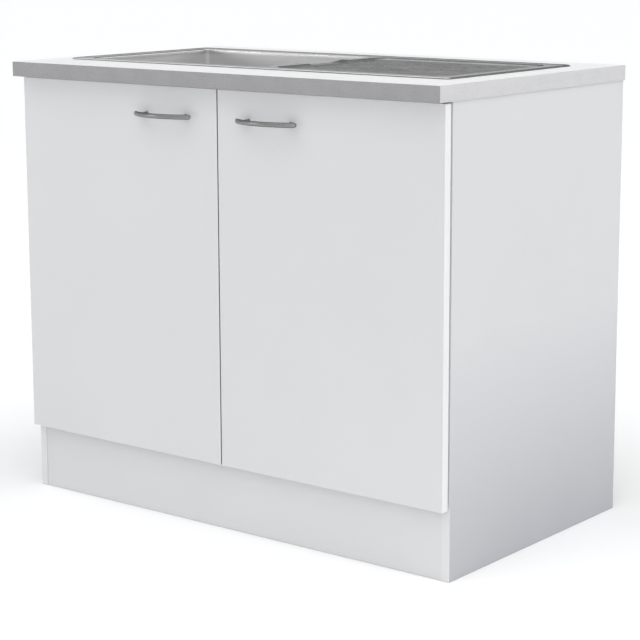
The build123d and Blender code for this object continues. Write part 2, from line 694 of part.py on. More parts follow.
ribbed_length = hose_length - 2 * hose_cuff
hose_ribs = round(ribbed_length / hose_rib_pitch)
rib_step = ribbed_length / hose_ribs
rings = [hose_plane(0) * Circle(hose_root)]
for number in range(hose_ribs):
    rib_start = hose_cuff + number * rib_step
    for share, radius in ((0.0, hose_root), (0.25, hose_crest), (0.6, hose_crest), (0.85, hose_root)):
        rings.append(hose_plane(rib_start + share * rib_step) * Circle(radius))
rings.append(hose_plane(hose_length) * Circle(hose_root))
hose_body = loft(rings, ruled=True)
top_bore = rod(hose_start, DOWN, hose_bore, down_length)
level_bore = rod((bowl_middle_x, drop_y - hose_bend_radius, inlet_z), FRONT, hose_bore, level_length)
bend_section = Plane(origin=(bowl_middle_x, drop_y, inlet_z + hose_bend_radius), z_dir=DOWN) * Circle(hose_bore)
bend_axis = Axis((bowl_middle_x, drop_y - hose_bend_radius, inlet_z + hose_bend_radius), LEFT)
bend_bore = revolve(bend_section, axis=bend_axis, revolution_arc=90)
pieces["overflow_hose"] = hose_body - top_bore - level_bore - bend_bore

# ------------------------------------------------------------------ trap
# The tail pipe drops into the bend that holds the water seal, and the outlet pipe rises from it
# and runs out at the back. A nut with a sealing ring holds each pipe in its collar.
union_nuts = []
union_seals = []
grip_radius = 2.0


def union(mouth, direction):
    """The nut and the sealing ring at a collar's mouth; direction is the way out of the collar."""
    lip_start = along(mouth, direction, seal_ring_length)
    thread_length = nut_length - nut_lip
    nut_start = along(lip_start, direction, -thread_length)
    nut = rod(nut_start, direction, nut_radius, nut_length)
    nut = nut - rod(nut_start, direction, collar_radius + pipe_clearance, thread_length)
    nut = nut - rod(lip_start, direction, pipe_radius + pipe_clearance, nut_lip)
    around = Plane(origin=nut_start, z_dir=direction)
    for number in range(nut_rib_count):
        angle = 360 * number / nut_rib_count
        groove = Cylinder(grip_radius, nut_length, align=(Align.CENTER, Align.CENTER, Align.MIN))
        nut = nut - around * Rot(0, 0, angle) * Pos(nut_radius + grip_radius / 2, 0, 0) * groove
    union_nuts.append(nut)
    union_seals.append(tube(mouth, direction, collar_radius, pipe_radius + fitting_clearance, seal_ring_length))


housing_mouth_z = housing_bottom - collar_length
union(on_waste(housing_mouth_z), DOWN)
tail_top = housing_mouth_z + pipe_insertion
tail_bottom = tail_top - tail_pipe_length
pieces["tail_pipe"] = tube(on_waste(tail_top), DOWN, pipe_radius, pipe_bore, tail_pipe_length)

bend_mouth_z = tail_bottom + pipe_insertion
collar_floor_z = bend_mouth_z - collar_length
bend_start_z = collar_floor_z - pipe_wall
rising_y = waste_y + 2 * trap_radius


def half_bend(radius):
    """A solid half turn of the trap's bend."""
    section = Plane(origin=on_waste(bend_start_z), z_dir=DOWN) * Circle(radius)
    bend_axis = Axis((waste_x, waste_y + trap_radius, bend_start_z), RIGHT)
    return revolve(section, axis=bend_axis, revolution_arc=180)


trap_bend = half_bend(pipe_radius)
trap_hollow = half_bend(pipe_bore)
for leg_y in (waste_y, rising_y):
    leg_mouth = (waste_x, leg_y, bend_mouth_z)
    trap_bend = trap_bend + rod(leg_mouth, DOWN, collar_radius, collar_length + pipe_wall)
    trap_hollow = trap_hollow + rod(leg_mouth, DOWN, collar_bore, collar_length)
    trap_hollow = trap_hollow + rod((waste_x, leg_y, collar_floor_z), DOWN, pipe_bore, pipe_wall)
    union(leg_mouth, UP)
pieces["trap_bend"] = trap_bend - trap_hollow

outlet_bottom = bend_mouth_z - pipe_insertion
elbow_start_z = bend_mouth_z + seal_ring_length + nut_lip + outlet_rise
outlet_z = elbow_start_z + outlet_radius
elbow_end_y = rising_y + outlet_radius


def outlet_shape(radius):
    """The outlet's upright run, quarter turn and level run as one solid."""
    upright = rod((waste_x, rising_y, outlet_bottom), UP, radius, elbow_start_z - outlet_bottom)
    section = Plane(origin=(waste_x, rising_y, elbow_start_z), z_dir=UP) * Circle(radius)
    elbow_axis = Axis((waste_x, elbow_end_y, elbow_start_z), LEFT)
    elbow = revolve(section, axis=elbow_axis, revolution_arc=90)
    level = rod((waste_x, elbow_end_y, outlet_z), BACK, radius, worktop_back - elbow_end_y)
    return upright + elbow + level


pieces["outlet_pipe"] = outlet_shape(pipe_radius) - outlet_shape(pipe_bore)
pieces["trap_union_nuts"] = group(union_nuts)
pieces["trap_seal_rings"] = group(union_seals)

# ------------------------------------------------------------------ right door
# Both doors are alike: what follows is made for the right one and mirrored for the left one.
door_x = (door_inner_edge, door_outer_edge)
door = block(door_x, (door_face, door_rear), (door_bottom, door_top))
door = fillet(door.edges(), door_edge_radius)
door_bumpers = []
bumper_x = door_inner_edge + bumper_inset
for bumper_z in (door_top - bumper_inset, plinth_height + half_board):
    seat = (bumper_x, door_rear, bumper_z)
    door_bumpers.append(rod(seat, BACK, bumper_radius, door_standoff - bumper_clearance))

# ------------------------------------------------------------------ bow handle
handle_x = door_inner_edge + handle_from_door_edge
handle_z = door_top - handle_drop
half_handle = handle_length / 2
bow_rise = handle_middle_standoff - handle_end_standoff
bow_radius = (half_handle ** 2 + bow_rise ** 2) / (2 * bow_rise)
bow_half_angle = math.degrees(math.asin(half_handle / bow_radius))
bow_centre_y = door_face - handle_middle_standoff + bow_radius
half_holes = handle_hole_spacing / 2
post_length = door_face - bow_centre_y + math.sqrt(bow_radius ** 2 - half_holes ** 2)

bar_section = Plane.XZ * Pos(bow_radius, 0) * Ellipse(handle_bar_depth / 2, handle_bar_height / 2)
bar = revolve(bar_section, axis=Axis.Z, revolution_arc=2 * bow_half_angle)
bar = Pos(handle_x, bow_centre_y, handle_z) * Rot(0, 0, -90 - bow_half_angle) * bar
front_view = Plane(origin=(handle_x, door_face, handle_z), x_dir=RIGHT, z_dir=FRONT)
bar_outline = extrude(front_view * SlotOverall(handle_length, handle_tip_height), 2 * handle_middle_standoff)
handle = bar & bar_outline
handle_screws = []
for offset in (-half_holes, half_holes):
    post_x = handle_x + offset
    handle = handle + rod((post_x, door_face, handle_z), FRONT, handle_post_radius, post_length)
    thread = rod((post_x, door_face, handle_z), FRONT, machine_screw_radius + fitting_clearance,
                 handle_thread_depth)
    handle = handle - thread
    seat = (post_x, door_rear, handle_z)
    handle_screws.append(screw(seat, FRONT, machine_screw_radius,
                               door_thickness + handle_thread_depth - fitting_clearance,
                               machine_screw_head_radius, machine_screw_head_height))
    door = door - rod(seat, FRONT, machine_screw_radius + fitting_clearance, door_thickness)

# ------------------------------------------------------------------ concealed hinges
# The cup is let into the door, the plate is screwed to the side panel, and the hooked arm runs
# from the plate into the cup, where the pin joins it to the cup's two lugs.
axis_x = door_outer_edge - hinge_axis_inset
axis_y = door_rear - hinge_axis_depth
cup_x = door_outer_edge - cup_edge_distance - cup_radius
neck_outer = axis_x - arm_neck_reach
neck_inner = neck_outer - arm_thickness
plate_inner = side_inner - plate_thickness
half_knuckle = knuckle_width / 2
half_bar = knuckle_radius / 2
lug_start = half_knuckle + fitting_clearance * 3
lug_end = lug_start + cup_lug_thickness
arm_rear = cabinet_front + arm_end
arm_body_front = cabinet_front + plate_screw_line - plate_length / 2
plate_y = cabinet_front + plate_screw_line
running_clearance = 0.05

hinge_cups = []
hinge_arms = []
hinge_plates = []
hinge_pins = []
cup_screws = []
plate_screws = []
arm_screws = []
door_cuts = []
panel_cuts = []


def hinge(height):
    """One hinge of the right door at a height above the floor."""
    mouth = (cup_x, door_rear, height)
    axis_bottom = (axis_x, axis_y, height - lug_end)
    pin_hole = rod(axis_bottom, UP, hinge_pin_radius + running_clearance, 2 * lug_end)

    cup = rod(mouth, FRONT, cup_radius, cup_depth)
    cup_cylinder = rod(mouth, FRONT, cup_radius, cup_depth)
    cup_floor_y = door_rear - cup_depth + cup_wall
    cup = cup - rod(mouth, FRONT, cup_radius - cup_wall, cup_depth - cup_wall)
    for side in (-1, 1):
        lug_z = sorted((height + side * lug_start, height + side * lug_end))
        lug = block((axis_x - 2 * hinge_pin_radius, axis_x + 2 * hinge_pin_radius),
                    (cup_floor_y, axis_y + 2 * hinge_pin_radius), lug_z)
        cup = cup + (lug & cup_cylinder)
    screw_line = cup_x - cup_screw_offset
    half_flange = cup_screw_spacing / 2 + cup_flange_overhang
    flange_y = (door_rear, door_rear + cup_flange_thickness)
    wings = block((screw_line - cup_flange_overhang, screw_line + cup_flange_overhang), flange_y,
                  (height - half_flange, height + half_flange))
    collar = rod(mouth, BACK, cup_radius + cup_wall, cup_flange_thickness)
    opening = rod(mouth, BACK, cup_radius - cup_wall, cup_flange_thickness)
    cup = cup + (wings + collar - opening) - pin_hole
    door_cuts.append(rod(mouth, FRONT, cup_radius + fitting_clearance, cup_depth + fitting_clearance))
    for side in (-1, 1):
        seat = (screw_line, door_rear + cup_flange_thickness, height + side * cup_screw_spacing / 2)
        hole = pilot_hole(seat, FRONT, wood_screw_length)
        cup = cup - hole
        door_cuts.append(hole)
        cup_screws.append(wood_screw(seat, FRONT))
    hinge_cups.append(cup)
    hinge_pins.append(rod(axis_bottom, UP, hinge_pin_radius, 2 * lug_end))

    knuckle_z = (height - half_knuckle, height + half_knuckle)
    arm = rod((axis_x, axis_y, knuckle_z[0]), UP, knuckle_radius, knuckle_width)
    arm = arm + block((neck_inner, axis_x), (axis_y - half_bar, axis_y + half_bar), knuckle_z)
    arm = arm + block((neck_inner, neck_outer), (axis_y - half_bar, arm_body_front), knuckle_z)
    arm = arm + block((neck_inner, neck_outer), (arm_body_front, arm_rear),
                      (height - arm_body_width / 2, height + arm_body_width / 2))
    arm = arm - pin_hole

    plate = block((plate_inner, side_inner), (plate_y - plate_length / 2, plate_y + plate_length / 2),
                  (height - plate_width / 2, height + plate_width / 2))
    half_wing = plate_screw_spacing / 2 + cup_flange_overhang
    plate = plate + block((plate_inner, side_inner), (plate_y - cup_flange_overhang, plate_y + cup_flange_overhang),
                          (height - half_wing, height + half_wing))
    plate = plate + block((neck_outer, plate_inner), (plate_y - plate_length / 2, plate_y + plate_length / 2),
                          knuckle_z)
    for side in (-1, 1):
        seat = (plate_inner, plate_y, height + side * plate_screw_spacing / 2)
        hole = pilot_hole(seat, RIGHT, wood_screw_length)
        plate = plate - hole
        panel_cuts.append(hole)
        plate_screws.append(wood_screw(seat, RIGHT))
        arm_seat = (neck_inner, plate_y + side * plate_length / 3, height)
        arm_screw_length = side_inner - neck_inner - fitting_clearance
        arm_hole = rod(arm_seat, RIGHT, machine_screw_radius + fitting_clearance, side_inner - neck_inner)
        arm = arm - arm_hole
        plate = plate - arm_hole
        arm_screws.append(screw(arm_seat, RIGHT, machine_screw_radius, arm_screw_length,
                                machine_screw_head_radius, machine_screw_head_height))
    hinge_arms.append(arm)
    hinge_plates.append(plate)


hinge(door_bottom + hinge_inset)
hinge(door_top - hinge_inset)
for cut in door_cuts:
    door = door - cut
for cut in panel_cuts:
    side_panels[1] = side_panels[1] - cut
    side_panels[-1] = side_panels[-1] - mirrored(cut)
pieces["left_side_panel"] = side_panels[-1]
pieces["right_side_panel"] = side_panels[1]


def mirrored_group(solids):
    """The left door's solids, from the right door's."""
    return group([mirrored(solid) for solid in solids])


paired = {"door": [door], "handle": [handle], "handle_screws": handle_screws, "bumpers": door_bumpers,
          "hinge_cups": hinge_cups, "hinge_pins": hinge_pins, "hinge_arms": hinge_arms,
          "hinge_plates": hinge_plates, "cup_screws": cup_screws}
for name, solids in paired.items():
    pieces[f"right_{name}"] = group(solids)
    pieces[f"left_{name}"] = mirrored_group(solids)
pieces["hinge_arm_screws"] = group(arm_screws + [mirrored(solid) for solid in arm_screws])
cabinet_screws = cabinet_screws + plate_screws + [mirrored(solid) for solid in plate_screws]
pieces["cabinet_screws"] = group(cabinet_screws)

for name, shape in pieces.items():
    export_step(shape, f"parts/{name}.step")
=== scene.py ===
import math

import bmesh
import bpy
from mathutils import Matrix, Vector


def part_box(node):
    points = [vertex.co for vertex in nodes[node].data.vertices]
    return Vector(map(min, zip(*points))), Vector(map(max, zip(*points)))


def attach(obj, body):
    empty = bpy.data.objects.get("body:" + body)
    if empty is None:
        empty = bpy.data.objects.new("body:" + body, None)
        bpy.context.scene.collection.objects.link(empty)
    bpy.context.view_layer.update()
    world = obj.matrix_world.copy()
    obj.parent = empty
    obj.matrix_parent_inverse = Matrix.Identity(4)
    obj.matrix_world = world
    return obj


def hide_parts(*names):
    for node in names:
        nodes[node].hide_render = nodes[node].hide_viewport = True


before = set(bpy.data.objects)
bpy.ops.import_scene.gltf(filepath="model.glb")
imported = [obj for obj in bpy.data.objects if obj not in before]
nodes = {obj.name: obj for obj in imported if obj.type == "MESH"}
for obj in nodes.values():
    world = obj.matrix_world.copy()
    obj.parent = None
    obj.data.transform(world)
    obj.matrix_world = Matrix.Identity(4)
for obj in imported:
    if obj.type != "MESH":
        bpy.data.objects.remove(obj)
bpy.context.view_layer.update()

# ------------------------------------------------------------------ studio
# A pale floor that runs to the horizon under a dome of soft light, with a dark patch behind the
# unit, as from a black flag, that keeps the steel from washing out. Soft boxes stand in front, on
# the right and behind. The camera stands before the right corner, a little above the worktop.
CAMERA_PLACE = Vector((2.3077, -2.9018, 1.1033))
CAMERA_YAW = 38.308
CAMERA_PITCH = 10.461
CAMERA_ROLL = 0.184
CAMERA_LENS = 110.1
CAMERA_SHIFT_Y = -0.05
SENSOR = 36.0
# Each step is a height in the sky, from 0 at the horizon to 1 overhead, and its glow.
DOME_STEPS = ((0.0, 0.52), (0.12, 0.50), (0.34, 0.46), (0.75, 1.70), (1.0, 1.84))
FLAG_DIRECTION = (-0.31, 0.65, 0.69)
FLAG_EDGE = 0.76
FLAG_CORE = 0.88
FLAG_SHADE = 0.12
DOME_COLOUR = (0.985, 0.992, 1.0)
FLOOR_REACH = 60.0
FLOOR_CLEARANCE = 0.0005
FLOOR_PAINT = (0.96, 0.96, 0.96)
FLOOR_ROUGHNESS = 0.9
FLOOR_SHINE = 0.05

camera_data = bpy.data.cameras.new("studio_camera")
camera_data.lens = CAMERA_LENS
camera_data.sensor_width = SENSOR
camera_data.shift_y = CAMERA_SHIFT_Y
camera_data.clip_end = 2 * FLOOR_REACH
camera = bpy.data.objects.new("studio_camera", camera_data)
bpy.context.scene.collection.objects.link(camera)
turned = Matrix.Rotation(math.radians(CAMERA_YAW), 4, "Z")
tilted = Matrix.Rotation(math.radians(90.0 - CAMERA_PITCH), 4, "X")
rolled = Matrix.Rotation(math.radians(-CAMERA_ROLL), 4, "Z")
camera.matrix_world = Matrix.Translation(CAMERA_PLACE) @ turned @ tilted @ rolled
bpy.context.scene.camera = camera
bpy.context.scene.view_settings.view_transform = "Standard"


def soft_box(name, place, target, size, watts, colour):
    """A rectangular area light at a place, facing a target."""
    data = bpy.data.lights.new(name, "AREA")
    data.shape = "RECTANGLE"
    data.size, data.size_y = size
    data.energy = watts
    data.color = colour
    light = bpy.data.objects.new(name, data)
    light.location = place
    aim = Vector(target) - Vector(place)
    light.rotation_euler = aim.to_track_quat("-Z", "Y").to_euler()
    bpy.context.scene.collection.objects.link(light)


soft_box("light_left", (-3.05, -3.0, 1.27), (-0.2, 0.1, 0.85), (1.1, 0.55), 10.5, (1.0, 1.0, 1.0))
soft_box("light_front", (2.5, -3.2, 1.9), (0.2, 0.0, 0.5), (1.8, 1.4), 14.0, (1.0, 0.995, 0.985))
soft_box("light_right", (2.6, 0.4, 2.4), (0.5, 0.0, 0.8), (1.4, 1.2), 6.0, (0.96, 0.98, 1.0))
soft_box("light_back", (2.6, 3.4, 1.6), (-0.2, 0.0, 0.85), (1.2, 0.8), 10.0, (1.0, 1.0, 1.0))

dome_top = DOME_STEPS[-1][1]
world = bpy.data.worlds.new("studio_dome")
world.use_nodes = True
dome = world.node_tree
direction = dome.nodes.new("ShaderNodeTexCoord").outputs["Generated"]
height = dome.nodes.new("ShaderNodeSeparateXYZ")
dome.links.new(direction, height.inputs["Vector"])
glow = dome.nodes.new("ShaderNodeFloatCurve")
points = glow.mapping.curves[0].points
points[0].location = (DOME_STEPS[0][0], DOME_STEPS[0][1] / dome_top)
points[1].location = (1.0, 1.0)
for place, strength in DOME_STEPS[1:-1]:
    points.new(place, strength / dome_top)
glow.mapping.update()
dome.links.new(height.outputs["Z"], glow.inputs["Value"])
towards_flag = dome.nodes.new("ShaderNodeVectorMath")
towards_flag.operation = "DOT_PRODUCT"
towards_flag.inputs[1].default_value = FLAG_DIRECTION
dome.links.new(direction, towards_flag.inputs[0])
flag = dome.nodes.new("ShaderNodeMapRange")
flag.interpolation_type = "SMOOTHSTEP"
for socket, value in zip(list(flag.inputs)[1:5], (FLAG_EDGE, FLAG_CORE, dome_top, dome_top * FLAG_SHADE)):
    socket.default_value = value
dome.links.new(towards_flag.outputs["Value"], flag.inputs["Value"])
lit = dome.nodes.new("ShaderNodeMath")
lit.operation = "MULTIPLY"
dome.links.new(glow.outputs["Value"], lit.inputs[0])
dome.links.new(flag.outputs["Result"], lit.inputs[1])
dome.links.new(lit.outputs["Value"], dome.nodes["Background"].inputs["Strength"])
dome.nodes["Background"].inputs["Color"].default_value = (*DOME_COLOUR, 1.0)
bpy.context.scene.world = world

floor_mesh = bpy.data.meshes.new("studio_floor")
shape = bmesh.new()
bmesh.ops.create_grid(shape, x_segments=1, y_segments=1, size=FLOOR_REACH)
shape.to_mesh(floor_mesh)
shape.free()
floor = bpy.data.objects.new("studio_floor", floor_mesh)
floor.location.z = -FLOOR_CLEARANCE
bpy.context.scene.collection.objects.link(floor)
floor_paint = bpy.data.materials.new("floor_paint")
floor_paint.use_nodes = True
paint = floor_paint.node_tree.nodes["Principled BSDF"]
paint.inputs["Base Color"].default_value = (*FLOOR_PAINT, 1.0)
paint.inputs["Roughness"].default_value = FLOOR_ROUGHNESS
paint.inputs["Specular IOR Level"].default_value = FLOOR_SHINE
floor_mesh.materials.append(floor_paint)

# ------------------------------------------------------------------ cabinet boards
# Panels, rails and plinth are 16 mm chipboard under a white melamine film with a faint press
# texture; the sides carry painted shade, darker and bluer towards the floor. Edges that don't show
# are left raw, and front edges have a plastic band, a little brighter, with a hairline of glue where it meets
# the film.
FILM_WHITE = (0.652, 0.655, 0.664)
CABINET_BAND = (0.685, 0.687, 0.694)
PAINTED_SHADE_FILM = (0.415, 0.42, 0.45)
PAINTED_SHADE_HEIGHT = 0.42
PAINTED_SHADE_LESS_IN_FRONT = 0.8
GLUE_GREY = (0.45, 0.44, 0.43)
GAP_SHADE_GREY = (0.19, 0.185, 0.18)
GAP_SHADE_BEGINS = (0.0008, 0.0026)
GAP_SHADE_ENDS = (0.0052, 0.0078)
CHIP_DARK = (0.34, 0.22, 0.12)
CHIP_LIGHT = (0.66, 0.50, 0.32)
CHIP_RELIEF = 0.0006
FILM_RELIEF = 0.00003
BAND_THICKNESS = 0.0010
RAW_SKIN = 0.0001
HAIRLINE = 0.00012


class Finish:
    """A node material with its shader, and short calls that add and link its nodes."""

    def __init__(self, name, roughness=0.5, metallic=0.0, specular=0.5):
        self.material = bpy.data.materials.new(name)
        self.material.use_nodes = True
        self.tree = self.material.node_tree
        self.shader = self.tree.nodes["Principled BSDF"]
        self.shader.inputs["Roughness"].default_value = roughness
        self.shader.inputs["Metallic"].default_value = metallic
        self.shader.inputs["Specular IOR Level"].default_value = specular
        self.place = self.add("ShaderNodeTexCoord").outputs["Object"]

    def add(self, kind, **settings):
        """A new node of a kind, with its settings."""
        made = self.tree.nodes.new(kind)
        for name, value in settings.items():
            setattr(made, name, value)
        return made

    def feed(self, socket, value):
        """Links an output into a socket, or sets the socket to a number or colour."""
        if isinstance(value, bpy.types.NodeSocket):
            self.tree.links.new(value, socket)
        elif isinstance(value, tuple) and socket.type == "RGBA":
            socket.default_value = (*value, 1.0)
        else:
            socket.default_value = value

    def stretched(self, scale):
        """The object's coordinates, each axis scaled by its own factor."""
        mapping = self.add("ShaderNodeMapping")
        self.feed(mapping.inputs["Vector"], self.place)
        mapping.inputs["Scale"].default_value = scale
        return mapping.outputs["Vector"]

    def noise(self, scale, place=None, detail=3.0, roughness=0.55):
        """Soft noise from 0 to 1, with a scale in waves per metre."""
        texture = self.add("ShaderNodeTexNoise")
        self.feed(texture.inputs["Vector"], place or self.place)
        texture.inputs["Scale"].default_value = scale
        texture.inputs["Detail"].default_value = detail
        texture.inputs["Roughness"].default_value = roughness
        return texture.outputs["Fac"]

    def cells(self, scale, place=None, output="Distance"):
        """A pattern of cells, with a scale in cells per metre."""
        texture = self.add("ShaderNodeTexVoronoi")
        self.feed(texture.inputs["Vector"], place or self.place)
        texture.inputs["Scale"].default_value = scale
        return texture.outputs[output]

    def between(self, source, low, high, start=0.0, end=1.0):
        """A value that goes from low to high while the source goes from start to end."""
        ramp = self.add("ShaderNodeMapRange")
        self.feed(ramp.inputs["Value"], source)
        # Sockets 1 to 4 are the source's two ends and then the result's two ends.
        for socket, value in zip(list(ramp.inputs)[1:5], (start, end, low, high)):
            self.feed(socket, value)
        return ramp.outputs["Result"]

    def mixed(self, share, first, second):
        """The first colour where the share is 0 and the second where it is 1."""
        mix = self.add("ShaderNodeMix", data_type="RGBA")
        # Sockets 6, 7 and 2 are the ones that this node shows for colours.
        self.feed(mix.inputs["Factor"], share)
        self.feed(mix.inputs[6], first)
        self.feed(mix.inputs[7], second)
        return mix.outputs[2]

    def step(self, operation, first, second, third=0.0):
        """One arithmetic step on two or three values."""
        node = self.add("ShaderNodeMath", operation=operation)
        for socket, value in zip(node.inputs, (first, second, third)):
            self.feed(socket, value)
        return node.outputs["Value"]

    def axis(self, name):
        """The object's own X, Y or Z coordinate."""
        parts = self.add("ShaderNodeSeparateXYZ")
        self.feed(parts.inputs["Vector"], self.place)
        return parts.outputs[name]

    def bump(self, relief, depth, strength=1.0):
        """A fine relief of the surface, on top of any given before, with its depth in metres."""
        node = self.add("ShaderNodeBump")
        node.inputs["Strength"].default_value = strength
        node.inputs["Distance"].default_value = depth
        self.feed(node.inputs["Height"], relief)
        normal = self.shader.inputs["Normal"]
        if normal.is_linked:
            self.feed(node.inputs["Normal"], normal.links[0].from_socket)
        self.feed(normal, node.outputs["Normal"])

    def colour(self, value):
        """Gives the surface its colour."""
        self.feed(self.shader.inputs["Base Color"], value)

    def rough(self, value):
        """Gives the surface its roughness."""
        self.feed(self.shader.inputs["Roughness"], value)


def dimmed(colour, factor):
    """A colour with its three parts multiplied by a factor."""
    return tuple(factor * part for part in colour)


def dress(finish, *names):
    """Gives CAD nodes a finish in place of their plain one."""
    for name in names:
        slots = nodes[name].data.materials
        slots.clear()
        slots.append(finish.material)


def chips(finish):
    """The colour and the height of pressed wood chips."""
    flakes = finish.add("ShaderNodeRGBToBW")
    finish.feed(flakes.inputs["Color"], finish.cells(230.0, finish.stretched((1.0, 1.0, 2.2)), "Color"))
    sawdust = finish.noise(700.0, detail=4.0)
    tone = finish.between(finish.step("ADD", flakes.outputs["Val"], sawdust), 0.0, 1.0, 0.45, 1.5)
    return finish.mixed(tone, CHIP_DARK, CHIP_LIGHT), tone


def board_finish(name, node, raw=(), banded=(), band=CABINET_BAND, painted_floor_shade=False, painted_gap_shade=None):
    """White film for one board; raw and banded name its sides, such as +Y for the back, as does the side
    whose gap gets a line of painted shade.
    """
    finish = Finish(name, specular=0.45)
    low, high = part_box(node)
    limits = {"-X": low.x, "+X": high.x, "-Y": low.y, "+Y": high.y, "-Z": low.z, "+Z": high.z}
    clouds = finish.noise(3.0, detail=2.0)
    handling = finish.noise(160.0, detail=5.0, roughness=0.7)
    colour = finish.mixed(finish.between(clouds, 0.0, 1.0, 0.3, 0.7), dimmed(FILM_WHITE, 0.975), FILM_WHITE)
    rough = finish.between(handling, 0.36, 0.48, 0.3, 0.7)
    # Painted shade: the film darkens and cools towards the floor, a little less at the front edge.
    if painted_floor_shade:
        shade_towards_floor = finish.between(finish.axis("Z"), 1.0, 0.0, 0.0, PAINTED_SHADE_HEIGHT)
        shade_towards_back = finish.between(finish.axis("Y"), PAINTED_SHADE_LESS_IN_FRONT, 1.0, low.y, high.y)
        patchy_shade = finish.between(clouds, 0.85, 1.0, 0.3, 0.7)
        share = finish.step("MULTIPLY", finish.step("MULTIPLY", shade_towards_floor, patchy_shade), shade_towards_back)
        colour = finish.mixed(share, colour, PAINTED_SHADE_FILM)
    for side in (*banded, *raw):
        sign = 1 if side[0] == "+" else -1
        skin = BAND_THICKNESS if side in banded else RAW_SKIN
        border = limits[side] - sign * skin
        place = finish.axis(side[1])
        edge = finish.step("GREATER_THAN" if sign > 0 else "LESS_THAN", place, border)
        if side in banded:
            colour = finish.mixed(edge, colour, band)
            hairline = finish.step("COMPARE", place, border, HAIRLINE)
            colour = finish.mixed(finish.between(hairline, 0.0, 0.35), colour, GLUE_GREY)
        else:
            chip_colour, chip_height = chips(finish)
            colour = finish.mixed(edge, colour, chip_colour)
            rough = finish.step("MAXIMUM", rough, finish.step("MULTIPLY", edge, 0.85))
            finish.bump(finish.step("MULTIPLY", edge, chip_height), CHIP_RELIEF)
    # Painted shade: a dark grey line on the meeting edge, a few millimetres behind the face, where the gap is
    # in shade.
    if painted_gap_shade:
        depth = finish.step("SUBTRACT", finish.axis("Y"), low.y)
        gap_shade_begun = finish.between(depth, 0.0, 1.0, *GAP_SHADE_BEGINS)
        gap_shade_before_end = finish.between(depth, 1.0, 0.0, *GAP_SHADE_ENDS)
        at_side = finish.step("COMPARE", finish.axis(painted_gap_shade[1]), limits[painted_gap_shade], HAIRLINE)
        share = finish.step("MULTIPLY", finish.step("MULTIPLY", gap_shade_begun, gap_shade_before_end), at_side)
        colour = finish.mixed(share, colour, GAP_SHADE_GREY)
    finish.colour(colour)
    finish.rough(rough)
    finish.bump(finish.noise(1400.0, detail=2.0), FILM_RELIEF, 0.5)
    dress(finish, node)


board_finish("film_left_side", "left_side_panel", raw=("+Y", "-Z"), banded=("-Y",), painted_floor_shade=True)
board_finish("film_right_side", "right_side_panel", raw=("+Y", "-Z"), banded=("-Y",), painted_floor_shade=True)
board_finish("film_bottom", "bottom_panel", raw=("+Y",), banded=("-Y",))
board_finish("film_plinth", "plinth_board", raw=("-Z",))
board_finish("film_front_rail", "front_top_rail", raw=("-Z",))
board_finish("film_rear_rail", "rear_top_rail", raw=("-Z",))
board_finish("film_low_rail", "rear_bottom_rail", raw=("+Z",))

# ------------------------------------------------------------------ board fittings and screws
# Beech dowels, die-cast cams with their steel bolts, zinc-plated screws, sink clips and the folded
# steel angles that hold the worktop. Zinc plate is bright, with a faint blue and a fine mottle.
ZINC = (0.66, 0.68, 0.70)
CAST_ZINC = (0.50, 0.50, 0.51)
BEECH = (0.62, 0.42, 0.24)

zinc = Finish("zinc_plate", metallic=1.0)
zinc.colour(zinc.mixed(zinc.noise(60.0), dimmed(ZINC, 0.82), ZINC))
zinc.rough(zinc.between(zinc.cells(420.0), 0.24, 0.40, 0.0, 0.8))
zinc.bump(zinc.noise(900.0), 0.00004, 0.6)
dress(zinc, "cabinet_screws", "worktop_brackets", "cam_bolts", "sink_clips", "sink_clip_screws",
      "hinge_arm_screws", "left_handle_screws", "right_handle_screws", "left_cup_screws",
      "right_cup_screws")

cast = Finish("cast_zinc", metallic=1.0)
cast.colour(cast.mixed(cast.noise(300.0, detail=4.0), dimmed(CAST_ZINC, 0.75), CAST_ZINC))
cast.rough(cast.between(cast.noise(800.0), 0.42, 0.62))
cast.bump(cast.noise(1200.0), 0.00006, 0.7)
dress(cast, "cam_discs")

beech = Finish("beech")
grain = beech.noise(260.0, beech.stretched((0.12, 1.0, 1.0)), detail=5.0)
beech.colour(beech.mixed(grain, dimmed(BEECH, 0.7), BEECH))
beech.rough(beech.between(grain, 0.6, 0.8))
beech.bump(grain, 0.0002)
dress(beech, "dowels")

# ------------------------------------------------------------------ worktop
# A 28 mm chipboard core between a pale mottled laminate sheet and a thin grey balancing sheet
# underneath, which keeps it flat. Its edges are closed with 1 mm plastic bands whose long edges
# are scraped round: a mid grey stone print on the front and a paler one on the two ends.
LAMINATE_PALE = (0.95, 0.95, 0.95)
LAMINATE_DARK = (0.85, 0.85, 0.855)
BALANCING_GREY = (0.60, 0.60, 0.59)
BALANCING_SHEET = 0.0004
FRONT_PALE = (0.362, 0.357, 0.365)
FRONT_DARK = (0.277, 0.272, 0.28)
END_PALE = (0.63, 0.625, 0.63)
END_DARK = (0.54, 0.535, 0.54)
BAND_ROUNDING = 0.00035
WELD_DISTANCE = 0.00001
SHARP_ANGLE = math.radians(40.0)

core = Finish("worktop_chipboard", roughness=0.85, specular=0.2)
core_colour, core_height = chips(core)
underside = core.step("LESS_THAN", core.axis("Z"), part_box("worktop_core")[0].z + BALANCING_SHEET)
core.colour(core.mixed(underside, core_colour, BALANCING_GREY))
core.bump(core.step("MULTIPLY", core_height, core.step("SUBTRACT", 1.0, underside)), CHIP_RELIEF)
dress(core, "worktop_core")


